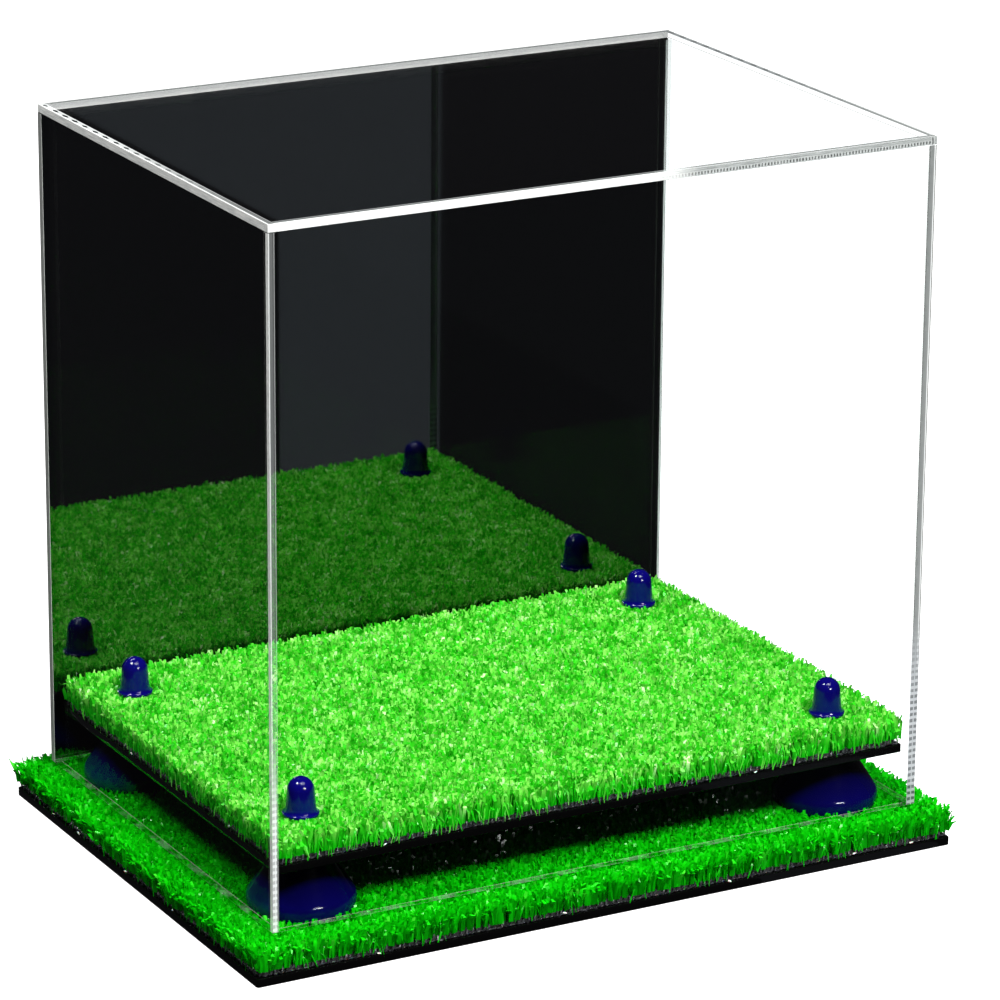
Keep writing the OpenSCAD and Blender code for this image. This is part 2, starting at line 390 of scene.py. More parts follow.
def tree_of(name, sockets):
    """A Geometry Nodes tree with named inputs, its input sockets and its adder."""
    tree = bpy.data.node_groups.new(name, "GeometryNodeTree")
    tree.interface.new_socket(name="Geometry", in_out="OUTPUT", socket_type="NodeSocketGeometry")
    for socket, kind in {"Geometry": "Geometry", **sockets}.items():
        tree.interface.new_socket(name=socket, in_out="INPUT", socket_type="NodeSocket" + kind)
    return tree, tree.nodes.new("NodeGroupInput").outputs, adder(tree)


def grown(thing, tree, **values):
    """The plain mesh that a tree grows from an object. Names in values have _ for a space."""
    modifier = thing.modifiers.new(tree.name, "NODES")
    modifier.node_group = tree
    for item in tree.interface.items_tree:
        key = item.name.lower().replace(" ", "_")
        if item.in_out == "INPUT" and key in values:
            modifier[item.identifier] = values[key]
    return flattened(thing)


def loop_tree():
    """A yarn that coils round a closed level line, as the loops of the stitches do at a cut edge."""
    tree, given, add = tree_of("yarn loops", {
        "Pitch": "Float", "Yarn": "Float", "Reach": "Float", "Step": "Float", "Start": "Float",
        "Material": "Material"})
    line = add("MeshToCurve", {"Mesh": given["Geometry"]})
    line = add("ResampleCurve", {"Curve": line, "Length": given["Step"]}, mode="LENGTH")
    run = add("SplineParameter").outputs["Length"]
    out = add("VectorMath CROSS_PRODUCT", (add("InputTangent"), (0, 0, 1)))
    uneven = add("TexNoise", (run, 0.26 / MM, 1.0), noise_dimensions="1D").outputs["Fac"]
    slack = add("TexNoise", (add("Math", (run, given["Start"])), 0.42 / MM, 1.0),
                noise_dimensions="1D").outputs["Fac"]
    turns = add("Math DIVIDE", (run, given["Pitch"]))
    turns = add("Math MULTIPLY_ADD", (uneven, 1.3, turns))
    turns = add("Math ADD", (turns, given["Start"]))
    angle = add("Math MULTIPLY", (turns, 2 * math.pi))
    size = add("MapRange", (slack, 0.3, 0.7, 0.55, 1.2))
    size = add("Math MULTIPLY", (size, given["Reach"]))
    east = add("Math MULTIPLY", (add("Math COSINE", (angle,)), size))
    rise = add("Math MULTIPLY", (add("Math SINE", (angle,)), size))
    move = add("VectorMath SCALE", (out, east))
    move = add("VectorMath ADD", (move, add("CombineXYZ", {"Z": rise})))
    line = add("SetPosition", {"Geometry": line, "Offset": move})
    ring = add("CurvePrimitiveCircle", {"Resolution": 5, "Radius": given["Yarn"]})
    coil = add("CurveToMesh", {"Curve": line, "Profile Curve": ring})
    solid = add("RealizeInstances", (coil,))
    smooth = add("SetShadeSmooth", (solid,))
    worn = add("SetMaterial", {"Geometry": smooth, "Material": given["Material"]})
    add("NodeGroupOutput", (worn,))
    return tree


def latex_cloth(add):
    """Latex-coated tuft cloth: sooty black, dull, with greyer fibres catching light."""
    place = add("TexCoord").outputs["Object"]
    fibres = add("TexNoise", (place, 1.5 / MM, 4.0))
    tint = add("MapRange", (fibres, 0.35, 0.75))
    tone = add("Mix RGBA", (tint, "#060607", "#222327"))
    weave = add("TexVoronoi", (place, 0.9 / MM))
    bump = add("Bump", {"Height": weave, "Strength": 0.7, "Distance": 0.3 * MM})
    return add("BsdfPrincipled", {"Base Color": tone, "Roughness": 0.62, "Normal": bump,
                                  "Sheen Weight": 0.25})


def line_mesh(name, points, height):
    """A closed line of edges at one height."""
    mesh = bpy.data.meshes.new(name)
    count = len(points)
    mesh.from_pydata([(x, y, height) for x, y in points], [(i, (i + 1) % count) for i in range(count)], [])
    return mesh


def loop_yarn_finish(add):
    """Black polyester yarn stiffened by latex: it shines grey where it arches."""
    place = add("TexCoord").outputs["Object"]
    fibres = add("TexNoise", (place, 2.5 / MM, 3.0))
    tone = add("Mix RGBA", (add("MapRange", (fibres, 0.35, 0.65)), "#0b0b0c", "#4a4b50"))
    bump = add("Bump", {"Height": fibres, "Strength": 0.4, "Distance": 0.1 * MM})
    return add("BsdfPrincipled", {"Base Color": tone, "Roughness": 0.3, "Normal": bump})


backing_material = material_of("latex-coated tuft cloth", latex_cloth)
yarn_material = material_of("latex-stiffened yarn", loop_yarn_finish)
yarn_loops = loop_tree()
for part, holes, seed in (("base", (), 0.0), ("platform", screw_holes, 0.37)):
    node = part + "_turf_backing"
    low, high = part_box(node)
    inset = Vector((loop_inset, loop_inset, 0))
    low, high = Vector(low) + inset, Vector(high) - inset
    mesh = slab(node, low, high, backing_corner, backing_ease, holes)
    settle(link(part + "_backing_cloth", mesh, backing_material), part, "turf_backing", node)
    edge = line_mesh(node + "_edge", rounded_outline(low, high, fringe_corner), (low[2] + high[2]) / 2)
    fringe = grown(bpy.data.objects.new(part + "_backing_loops", edge), yarn_loops, pitch=loop_pitch,
                   yarn=loop_yarn, reach=loop_reach, step=loop_step, start=seed, material=yarn_material)
    settle(link(part + "_backing_loops", fringe), part, "turf_backing", node)

# ---------------------------------------------------------------- Turf pile
# Short artificial turf: flat polyethylene blades about 10 mm long, stitched through the backing.
# Blades stand close, lean and curl at random, and lie away from whatever presses on them.

blade_width, blade_gap, blade_density = 1.5 * MM, 0.52 * MM, 2.9e6
blade_lean, first_seed = 0.5, 20
tuft_pitch, tuft_fan, tuft_gather = 3.4 * MM, 0.15 / MM, 0.35
sparse_fill, sparse_inset = 0.55, 30 * MM
ground_step, pile_strips = 1.2 * MM, 6
splay_width, splay_angle = 4.0 * MM, 1.9
wall_strip, wall_clearance, wall_press = 3.0 * MM, 0.3 * MM, 0.88
overhang, platform_overhang, lowest_tip = 3.0 * MM, 0.5 * MM, 4.4 * MM
no_limit = 1.0
foot_low, foot_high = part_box("riser_foot_front_left")
foot_radius = (foot_high[0] - foot_low[0]) / 2
foot_rim, foot_belly = 15.2 * MM, 6.4 * MM
cap_low, cap_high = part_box("riser_cap_front_left")
cap_radius = (cap_high[0] - cap_low[0]) / 2
cap_dip, cap_clearance = 6.5 * MM, 0.4 * MM
foot_crowd, foot_push, cap_push = 4.0 * MM, 0.5, 0.7
cover_low, cover_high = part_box("cover_top_panel")
# Number to a metre of edge, lengths, half widths and heights of their roots in mm, and arch.
stray_kinds = {"short": (1000, (3.0, 6.5), (0.28, 0.55), (2.5, 6.0), 0.05),
               "long": (36, (6, 11), (0.35, 0.6), (3.0, 6.0), 0.3)}
stray_share = {"base": 0.45, "platform": 1.0}
stray_inset, stray_steps, stray_seed = 2 * MM, 6, 7
axes = [riser_axis(corner) for corner in corner_names]
pile_low, pile_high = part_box("base_turf_pile")
base_pile_h = pile_high[2] - pile_low[2]
base_bed_h = foot_low[2] - pile_low[2]
top_low, top_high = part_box("platform_turf_pile")
platform_pile_h = top_high[2] - top_low[2]
platform_bed_h = cap_low[2] - top_low[2]
margins = [Vector((reach, reach, 0)) for reach in (overhang, platform_overhang)]
base_limits = (Vector((*pile_low[:2], lowest_tip)) - margins[0],
               Vector((*pile_high[:2], no_limit)) + margins[0])
platform_limits = (Vector((*platform_low[:2], -no_limit)) - margins[1],
                   Vector((*platform_high[:2], no_limit)) + margins[1])
# Tip and root tones for the same turf on each board. The base's tones are darker: painted shade. The
# platform's tips are paler, partly their own yellower tone and partly painted sheen.
lit_and_shaded_pile_tones = {
    "base": (("#02b403", "#08c408", "#16d80e", "#5cf040"), ("#019602", "#04ac04", "#08be08", "#0ed20c")),
    "platform": (("#0aa408", "#3ace1e", "#9af066", "#f6ffd8"), ("#08bc08", "#10cc0c", "#1cdc12", "#3cec28"))}


def blade_tree():
    """Blades on a ground: each is a strip of three faces that leans, with a curl at its cut tip.
    They stand in tufts. The ground gives each blade its room and the way that it is pushed."""
    tree, given, add = tree_of("turf blades", {
        "Gap": "Float", "Density": "Float", "Width": "Float", "Tuft": "Float", "Lean": "Float", "Seed": "Int",
        "Lowest": "Vector", "Highest": "Vector", "Material": "Material"})
    fill = add("InputNamedAttribute FLOAT", ("fill",))
    roots = add("DistributePointsOnFaces", {"Mesh": given["Geometry"], "Distance Min": given["Gap"],
                                            "Density Max": given["Density"], "Density Factor": fill,
                                            "Seed": given["Seed"]},
                distribute_method="POISSON").outputs["Points"]
    here = add("InputPosition")

    # Each blade belongs to the nearest stitch, and fans out from it.
    cells = add("TexVoronoi", {"Vector": here, "Randomness": 0.7,
                               "Scale": add("Math DIVIDE", (1.0, given["Tuft"]))}, voronoi_dimensions="2D")
    spread = add("VectorMath SUBTRACT", (here, cells.outputs["Position"]))
    spread = add("VectorMath MULTIPLY", (spread, (1, 1, 0)))
    fan = add("VectorMath SCALE", (spread, tuft_fan))
    lean_way, side, curl = (add("VectorRotate", {"Vector": (1, 0, 0), "Angle": add(
        "RandomValue", {"Max": 2 * math.pi, "Seed": seed})}, rotation_type="Z_AXIS") for seed in (7, 5, 10))
    lean_size = add("RandomValue", {"Max": given["Lean"], "Seed": 8})
    lean = add("VectorMath SCALE", (lean_way, lean_size))
    lean = add("VectorMath ADD", (lean, fan))
    push = add("InputNamedAttribute FLOAT_VECTOR", ("push",))
    yielding = add("Math POWER", (add("RandomValue", {"Seed": 12}), 3.0))
    yielding = add("Math MULTIPLY_ADD", (yielding, 1.2, 0.12))
    pushed = add("VectorMath SCALE", (push, yielding))
    lean = add("VectorMath ADD", (lean, pushed))
    curl = add("VectorMath SCALE", (curl, add("RandomValue", {"Seed": 11})))
    room = add("InputNamedAttribute FLOAT", ("room",))
    height = add("RandomValue", {"Min": 0.84, "Max": 1.03, "Seed": 6})
    height = add("Math MULTIPLY", (room, height))

    # Its tone is mostly its own, with a part shared by the blades around it.
    patches = add("TexNoise", (here, 0.21 / MM, 2.0))
    patches = add("MapRange", (patches, 0.3, 0.7, 0, 0.45))
    tone = add("Math ADD", (patches, add("RandomValue", {"Max": 0.55, "Seed": 9})))
    kinds = {"tone": "FLOAT", "height": "FLOAT", "side": "FLOAT_VECTOR", "lean": "FLOAT_VECTOR",
             "curl": "FLOAT_VECTOR", "across": "FLOAT", "along": "FLOAT"}
    for name, value in zip(kinds, (tone, height, side, lean, curl)):
        roots = add("StoreNamedAttribute " + kinds[name], {"Geometry": roots, "Name": name, "Value": value},
                    domain="POINT")
    gathered = add("VectorMath SCALE", (spread, -tuft_gather))
    roots = add("SetPosition", {"Geometry": roots, "Offset": gathered})

    # One flat strip, with its place across and along itself, stands on every root.
    strip = add("MeshGrid", {"Size X": 1.0, "Size Y": 1.0, "Vertices X": 2, "Vertices Y": 4})
    spot = add("SeparateXYZ", (here,))
    length = add("Math ADD", (spot.outputs["Y"], 0.5))
    for name, value in (("across", spot.outputs["X"]), ("along", length)):
        strip = add("StoreNamedAttribute FLOAT", {"Geometry": strip, "Name": name, "Value": value},
                    domain="POINT")
    blades = add("InstanceOnPoints", {"Points": roots, "Instance": strip, "Scale": (0, 0, 0)})
    blades = add("RealizeInstances", (blades,))
    tone, height, side, lean, curl, across, along = (
        add("InputNamedAttribute " + kind, {"Name": name}) for name, kind in kinds.items())

    # The blade narrows a little, and its upper faces are shorter than the lower ones.
    taper = add("Math MULTIPLY", (along, along))
    taper = add("Math MULTIPLY_ADD", (taper, -0.3, 1.0))
    wide = add("Math MULTIPLY", (given["Width"], taper))
    wide = add("Math MULTIPLY", (wide, across))
    sideways = add("VectorMath SCALE", (side, wide))
    climb = add("Math MULTIPLY_ADD", (along, -0.35, 1.35))
    climb = add("Math MULTIPLY", (along, climb))

    # It bends along an arc, whose angle is the length of its lean. The tip's own curl comes last.
    bend = add("VectorMath LENGTH", (lean,))
    bend = add("Math MAXIMUM", (bend.outputs["Value"], 0.02))
    radius = add("Math DIVIDE", (height, bend))
    turn = add("Math MULTIPLY", (bend, climb))
    out = add("Math SUBTRACT", (1.0, add("Math COSINE", (turn,))))
    out = add("Math MULTIPLY", (radius, out))
    rise = add("Math MULTIPLY", (radius, add("Math SINE", (turn,))))
    tip = add("Math MULTIPLY_ADD", (along, 3.0, -2.0))
    tip = add("Math MAXIMUM", (tip, 0.0))
    tip = add("Math MULTIPLY", (tip, height))
    hook = add("VectorMath DOT_PRODUCT", (curl, curl)).outputs["Value"]
    drop = add("Math MULTIPLY_ADD", (add("Math MULTIPLY", (hook, tip)), -0.16, rise))
    move = add("VectorMath NORMALIZE", (lean,))
    move = add("VectorMath SCALE", (move, out))
    move = add("VectorMath ADD", (move, sideways))
    flick = add("VectorMath SCALE", (curl, add("Math MULTIPLY", (tip, 0.17))))
    move = add("VectorMath ADD", (move, flick))
    move = add("VectorMath ADD", (move, add("CombineXYZ", {"Z": drop})))
    target = add("VectorMath ADD", (here, move))

    # What would pass a limit turns back from it, as a blade does that stands against a wall.
    for limit, operation in (("Lowest", "MAXIMUM"), ("Highest", "MINIMUM")):
        turned_back = add("VectorMath SCALE", (given[limit], 2.0))
        turned_back = add("VectorMath SUBTRACT", (turned_back, target))
        target = add("VectorMath " + operation, (target, turned_back))
    blades = add("SetPosition", {"Geometry": blades, "Position": target})

    # The map lays tone across and the blade's length up, so that like blades share a place on it.
    place = add("Math MULTIPLY_ADD", (across, 0.05, 0.03))
    place = add("Math MULTIPLY_ADD", (tone, 0.94, place))
    chart = add("CombineXYZ", {"X": place, "Y": along})
    blades = add("StoreNamedAttribute FLOAT2", {"Geometry": blades, "Name": "OFBake", "Value": chart},
                 domain="CORNER")
    for name in kinds:
        blades = add("RemoveAttribute", {"Geometry": blades, "Name": name})
    smooth = add("SetShadeSmooth", (blades,))
    worn = add("SetMaterial", {"Geometry": smooth, "Material": given["Material"]})
    add("NodeGroupOutput", (worn,))
    return tree


def turf_blade(add, tip_tones, root_tones):
    """Drawn polyethylene ribbon: saturated green, yellower and paler at the tips, with a waxy
    sheen, and thin enough to glow where light comes through it. Its tones also hold painted light: the
    palest tips are partly painted sheen, and the base turf's darker tones are painted shade."""
    chart = add("SeparateXYZ", (add("UVMap", uv_map="OFBake"),))
    tips, roots = (add("ValToRGB", (chart.outputs["X"],)) for _ in range(2))
    for ramp, tones in ((tips, tip_tones), (roots, root_tones)):
        bar = ramp.color_ramp
        bar.elements[0].color, bar.elements[1].color = colour(tones[0]), colour(tones[3])
        bar.elements.new(0.4).color = colour(tones[1])
        bar.elements.new(0.75).color = colour(tones[2])
    climb = add("MapRange", (chart.outputs["Y"], 0.05, 0.8), interpolation_type="SMOOTHSTEP")
    tint = add("Mix RGBA", (climb, roots, tips))
    skin = add("BsdfPrincipled", {"Base Color": tint, "Roughness": 0.27, "IOR": 1.5})
    glow = add("BsdfTranslucent", {"Color": tint})
    return add("MixShader", (0.4, skin, glow))


def base_room(x, y):
    """The height that a blade of the base turf has, and the way it is pushed, at a place."""
    room, push = base_pile_h, Vector((0, 0, 0))
    if -wall_clearance < min(cover_high[0] - abs(x), cover_high[1] - abs(y)) < wall_strip:
        room *= wall_press
    for axis in axes:
        away = Vector((x, y, 0)) - axis
        reach = away.length
        if reach < foot_radius:
            under = max(0.0, (reach - foot_rim) / (foot_radius - foot_rim))
            room = min(room, base_bed_h + foot_belly * (1 - math.sqrt(1 - min(under, 1.0) ** 2)))
        if reach < foot_radius + foot_crowd:
            share = (reach - foot_rim) / (foot_radius + foot_crowd - foot_rim)
            push = away.normalized() * foot_push * (1 - share)
    return room, push


def platform_room(x, y):
    """The same for the platform turf, where the cap nuts press."""
    room, push = platform_pile_h, Vector((0, 0, 0))
    for axis in axes:
        away = Vector((x, y, 0)) - axis
        reach = away.length
        if reach < cap_radius + cap_clearance:
            return (0.0 if reach < screw_hole else platform_bed_h), push
        if reach < cap_radius + cap_dip:
            share = (reach - cap_radius) / cap_dip
            push = away.normalized() * cap_push * (1 - share)
            room = platform_bed_h + (room - platform_bed_h) * share
    return room, push


def splay(x, y, whole):
    """The way that blades near the turf's cut edge fall outwards."""
    push = Vector((0, 0, 0))
    for axis, at in ((X, x), (Y, y)):
        for corner, sign in ((whole[0], -1), (whole[1], 1)):
            inside = abs(at - corner[axis])
            if inside < splay_width:
                push[axis] += sign * splay_angle * (1 - inside / splay_width) ** 2
    return push


def ground(name, low, high, height, room_at, whole):
    """A flat grid that carries, at each point, the room, push and fill of the blades there."""
    columns = round((high[0] - low[0]) / ground_step)
    rows = round((high[1] - low[1]) / ground_step)
    points, rooms, pushes, fills = [], [], [], []
    for j in range(rows + 1):
        for i in range(columns + 1):
            x = low[0] + (high[0] - low[0]) * i / columns
            y = low[1] + (high[1] - low[1]) * j / rows
            room, push = room_at(x, y)
            push = push + splay(x, y, whole)
            points.append((x, y, height))
            rooms.append(room)
            pushes.extend(push)
            inside = min(cover_high[0] - abs(x), cover_high[1] - abs(y))
            hidden = room_at is base_room and inside > sparse_inset
            fills.append(0.0 if room <= 0 else sparse_fill if hidden else 1.0)
    faces = [(j * (columns + 1) + i, j * (columns + 1) + i + 1, (j + 1) * (columns + 1) + i + 1,
              (j + 1) * (columns + 1) + i) for j in range(rows) for i in range(columns)]
    mesh = bpy.data.meshes.new(name)
    mesh.from_pydata(points, [], faces)
    mesh.attributes.new("room", "FLOAT", "POINT").data.foreach_set("value", rooms)
    mesh.attributes.new("push", "FLOAT_VECTOR", "POINT").data.foreach_set("vector", pushes)
    mesh.attributes.new("fill", "FLOAT", "POINT").data.foreach_set("value", fills)
    return bpy.data.objects.new(name, mesh)


def stray_blades(part, low, high):
    """Blades at the cut edge that have come away from the pile. Most are short and hang just over the
    backing. A few have sprung out, and curl down over the board."""
    rng = random.Random(stray_seed)
    shape = bmesh.new()
    chart = shape.loops.layers.uv.new("OFBake")
    for axis, sign, kind in ((a, b, k) for a in (X, Y) for b in (-1, 1) for k in ("short", "long")):
        edge, across = (high if sign > 0 else low)[axis], 1 - axis
        count, lengths, widths, tops, arch = stray_kinds[kind]
        for _ in range(round(count * stray_share[part] * (high[across] - low[across]))):
            run = rng.uniform(low[across] + stray_inset, high[across] - stray_inset)
            length, wide, top = (rng.uniform(*span) * MM for span in (lengths, widths, tops))
            drift, wave, tone = rng.uniform(-0.6, 0.6), rng.uniform(0, 6.3), rng.uniform(0.1, 0.85)
            before = None
            for step in range(stray_steps + 1):
                t = step / stray_steps
                place = [0.0, 0.0, low[2] + top + arch * length * math.sin(2.6 * t) - length * t * t]
                place[axis] = edge + sign * (min(0.45, 1.8 * t - 0.6) - 0.1 * math.sin(wave + 4 * t)) * MM
                place[across] = run + drift * length * t + 0.06 * length * math.sin(wave + 5 * t)
                pair = []
                for half in (-1, 1):
                    corner = Vector(place)
                    corner[across] += half * wide * (1 - 0.75 * t * t)
                    corner[axis] -= sign * 0.12 * MM * (1 + half * math.sin(wave))
                    pair.append(shape.verts.new(corner))
                if before:
                    face = shape.faces.new((*before, *reversed(pair)))
                    for loop in face.loops:
                        loop[chart].uv = (tone, 0.05 + 0.4 * (t - (loop.vert in before) / stray_steps))
                before = pair
    mesh = mesh_from(part + "_stray_blades", shape)
    mesh.shade_smooth()
    return mesh


turf_blades = blade_tree()
for part, low, high, room_at, limits in (
        ("base", pile_low, pile_high, base_room, base_limits),
        ("platform", top_low, top_high, platform_room, platform_limits)):
    # Each board's turf gets its own palette: painted shade on the base, painted sheen on the platform's tips.
    pile_material = material_of(f"drawn polyethylene turf, {part}",
                                lambda add: turf_blade(add, *lit_and_shaded_pile_tones[part]))
    for strip in range(pile_strips):
        west = low[0] + (high[0] - low[0]) * strip / pile_strips
        east = low[0] + (high[0] - low[0]) * (strip + 1) / pile_strips
        name = f"{part}_pile_{strip + 1}"
        bed = ground(name, (west, low[1]), (east, high[1]), low[2], room_at, (low, high))
        mesh = grown(bed, turf_blades, gap=blade_gap, density=blade_density, width=blade_width,
                     tuft=tuft_pitch, lean=blade_lean, seed=first_seed + strip, lowest=limits[0],
                     highest=limits[1], material=pile_material)
        settle(link(name, mesh), part, "turf_pile", part + "_turf_pile")
    settle(link(part + "_stray_blades", stray_blades(part, low, high), pile_material), part, "turf_pile",
           part + "_turf_pile")

# ---------------------------------------------------------------- Riser feet
# Hollow bell feet, injection moulded in glossy navy ABS. A boss inside takes the screw's head.
# They stand in beds that they press into the base turf, and carry the platform.

foot_top_r, foot_wall = 8.6 * MM, 2.4 * MM
foot_shoulder_r, foot_edge = 5.0 * MM, 0.4 * MM
rim_flat, rim_bevel = 0.6 * MM, 0.4 * MM
screw_ledge, boss_start = 8.0 * MM, 4.4 * MM
boss_r, counterbore_r = 6.5 * MM, 4.5 * MM
foot_h = foot_high[2] - foot_low[2]
turning_steps, turned_crease = 96, 35
# Below foot_top_level a riser is a foot. Its painted shade deepens from the lower height to the upper.
foot_top_level, painted_shade_from, painted_shade_to = 40 * MM, 13 * MM, 30 * MM


def turned(name, profile, place, steps=turning_steps):
    """A closed body of revolution. The profile gives radii and heights, up its outside and back down
    its inside or axis."""
    points, rings = [], []
    for radius, height in profile:
        rings.append(range(len(points), len(points) + (steps if radius > tiny else 1)))
        for i in range(len(rings[-1])):
            turn = 2 * math.pi * i / steps
            points.append((place[0] + radius * math.cos(turn), place[1] + radius * math.sin(turn),
                           place[2] + height))
    faces = []
    for lower, upper in zip(rings, rings[1:] + rings[:1]):
        if len(lower) == len(upper) == 1:
            continue
        for i in range(steps):
            j = (i + 1) % steps
            corners = [lower[i % len(lower)], lower[j % len(lower)],
                       upper[j % len(upper)], upper[i % len(upper)]]
            faces.append(list(dict.fromkeys(corners)))
    mesh = bpy.data.meshes.new(name)
    mesh.from_pydata(points, [], faces)
    mesh.shade_smooth()
    mesh.set_sharp_from_angle(angle=math.radians(turned_crease))
    return mesh


def navy_abs(add):
    """Moulded ABS: navy, polished by the mould, with faint flow ripples. The feet shine less than the caps,
    and their colour has painted shade: darker all over, and nearly black towards their roofs."""
    place = add("TexCoord").outputs["Object"]
    level = add("SeparateXYZ", (place,)).outputs["Z"]
    flow = add("TexNoise", (place, 0.06 / MM, 2.0))
    grain = add("TexNoise", (place, 0.9 / MM, 2.0))
    tint = add("Mix RGBA", (flow, "#030242", "#050354"))
    # Painted shade: the feet are darkened all over, and nearly to black towards their roofs, for the
    # platform's shadow over them.
    depth = add("MapRange", (level, painted_shade_from, painted_shade_to, 0.35, 0.95))
    foot = add("Math LESS_THAN", (level, foot_top_level))
    depth = add("Math MULTIPLY", (depth, foot))
    tint = add("Mix RGBA", (depth, tint, "#02011c"))
    rough = add("MapRange", (grain, 0, 1, 0.05, 0.12))
    shine = add("MapRange", (foot, 0, 1, 0.32, 0.2))
    bump = add("Bump", {"Height": flow, "Strength": 0.12, "Distance": 0.5 * MM})
    return add("BsdfPrincipled", {"Base Color": tint, "Roughness": rough, "Normal": bump, "IOR": 1.5,
                                  "Specular IOR Level": shine})


shoulder_x = foot_radius - foot_shoulder_r
flank = math.hypot(shoulder_x - foot_top_r, foot_h - foot_belly)
shoulder_a = math.degrees(math.atan2(foot_h - foot_belly, foot_top_r - shoulder_x)
                          - math.acos(foot_shoulder_r / flank))
slant = math.radians(shoulder_a)
roof_r = foot_top_r - foot_wall * (math.cos(slant) - (1 - math.sin(slant)) * math.tan(slant))
foot_profile = (
    arc((foot_rim, foot_belly), (foot_radius - foot_rim, foot_belly), -90, 0, 14)
    + arc((shoulder_x, foot_belly), (foot_shoulder_r,) * 2, 0, shoulder_a, 10)[1:]
    + arc((foot_top_r - foot_edge, foot_h - foot_edge), (foot_edge,) * 2, 20, 90, 4)
    + [(screw_hole, foot_h), (screw_hole, screw_ledge), (counterbore_r, screw_ledge),
       (counterbore_r, boss_start), (boss_r, boss_start), (boss_r, foot_h - foot_wall),
       (roof_r, foot_h - foot_wall)]
    + arc((shoulder_x, foot_belly), (foot_shoulder_r - foot_wall,) * 2, shoulder_a, 0, 8)
    + [(foot_rim - foot_wall, rim_flat), (foot_rim - foot_wall + rim_bevel, 0)])
navy_material = material_of("moulded navy ABS", navy_abs)
for corner in corner_names:
    node = "riser_foot_" + corner
    mesh = turned(node, foot_profile, riser_axis(corner) + Vector((0, 0, foot_low[2])))
    settle(link("riser_bell_" + corner, mesh, navy_material), "platform", "navy_plastic", node)

# ---------------------------------------------------------------- Riser screws
# Zinc-plated machine screws with a pan head and a cross recess. Each comes up through a foot, the
# platform board and the turf, and holds them together with a cap nut.

screw_low, screw_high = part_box("riser_screw_front_left")
head_r = (screw_high[0] - screw_low[0]) / 2
head_h, head_round = 2.6 * MM, 1.0 * MM
head_edge, shank_sink, tip_bevel = 0.1 * MM, 0.3 * MM, 0.5 * MM
screw_r, thread_pitch, thread_depth = 2.0 * MM, 0.7 * MM, 0.35 * MM
thread_steps, ridge_share, shank_steps, head_steps = 24, 0.66, 32, 64
recess_l, recess_w, recess_d = 4.4 * MM, 1.0 * MM, 1.5 * MM
screw_l = screw_high[2] - screw_low[2]


def thread_tree():
    """A screw thread: a three-sided ridge swept along a helix round the shank."""
    tree, given, add = tree_of("screw thread", {
        "Pitch": "Float", "Crest": "Float", "Depth": "Float", "Length": "Float", "Material": "Material"})
    turns = add("Math DIVIDE", (given["Length"], given["Pitch"]))
    ridge_r = add("Math MULTIPLY", (given["Depth"], ridge_share))
    middle = add("Math SUBTRACT", (given["Crest"], ridge_r))
    helix = add("CurveSpiral", {"Resolution": thread_steps, "Rotations": turns, "Start Radius": middle,
                                "End Radius": middle, "Height": given["Length"]})
    ridge = add("CurvePrimitiveCircle", {"Resolution": 3, "Radius": ridge_r})
    swept = add("CurveToMesh", {"Curve": helix, "Profile Curve": ridge, "Fill Caps": True})
    swept = add("JoinGeometry", {"Geometry": swept})
    tree.links.new(given["Geometry"], swept.inputs["Geometry"])
    solid = add("RealizeInstances", (swept,))
    worn = add("SetMaterial", {"Geometry": solid, "Material": given["Material"]})
    add("NodeGroupOutput", (worn,))
    return tree


def zinc_plate(add):
    """Bright zinc plating: silvery with a faint straw tint, brushed dull by handling."""
    place = add("TexCoord").outputs["Object"]
    mottle = add("TexNoise", (place, 1.2 / MM, 3.0))
    tint = add("Mix RGBA", (mottle, "#b9babb", "#d9d6cb"))
    rough = add("MapRange", (mottle, 0, 1, 0.22, 0.42))
    bump = add("Bump", {"Height": mottle, "Strength": 0.1, "Distance": 0.05 * MM})
    return add("BsdfPrincipled", {"Base Color": tint, "Metallic": 1.0, "Roughness": rough, "Normal": bump})


def box_mesh(name, low, high):
    """A plain box with its faces outwards."""
    x, y, z = zip(low, high)
    mesh = bpy.data.meshes.new(name)
    mesh.from_pydata([(x[i & 1], y[i >> 1 & 1], z[i >> 2]) for i in range(8)], [],
                     [(0, 2, 3, 1), (4, 5, 7, 6), (0, 1, 5, 4), (2, 6, 7, 3), (0, 4, 6, 2), (1, 3, 7, 5)])
    return mesh


def screw_head(name, place):
    """The pan head, with the cross cut out of its underside."""
    profile = ([(0, 0)] + arc((head_r - head_round, head_round), (head_round,) * 2, -90, 0, 6)
               + [(head_r, head_h - head_edge), (head_r - head_edge, head_h), (0, head_h)])
    head = bpy.data.objects.new(name, turned(name, profile, place, head_steps))
    for long, wide in ((recess_l, recess_w), (recess_w, recess_l)):
        half = Vector((long / 2, wide / 2, 0))
        cutter = link("recess_cutter", box_mesh("recess_cutter", place - half - Vector((0, 0, MM)),
                                                place + half + Vector((0, 0, recess_d))))
        cut = head.modifiers.new("recess", "BOOLEAN")
        cut.operation, cut.solver, cut.object = "DIFFERENCE", "EXACT", cutter
    mesh = flattened(head)
    for cutter in [o for o in bpy.data.objects if o.name.startswith("recess_cutter")]:
        bpy.data.meshes.remove(cutter.data)
    return mesh


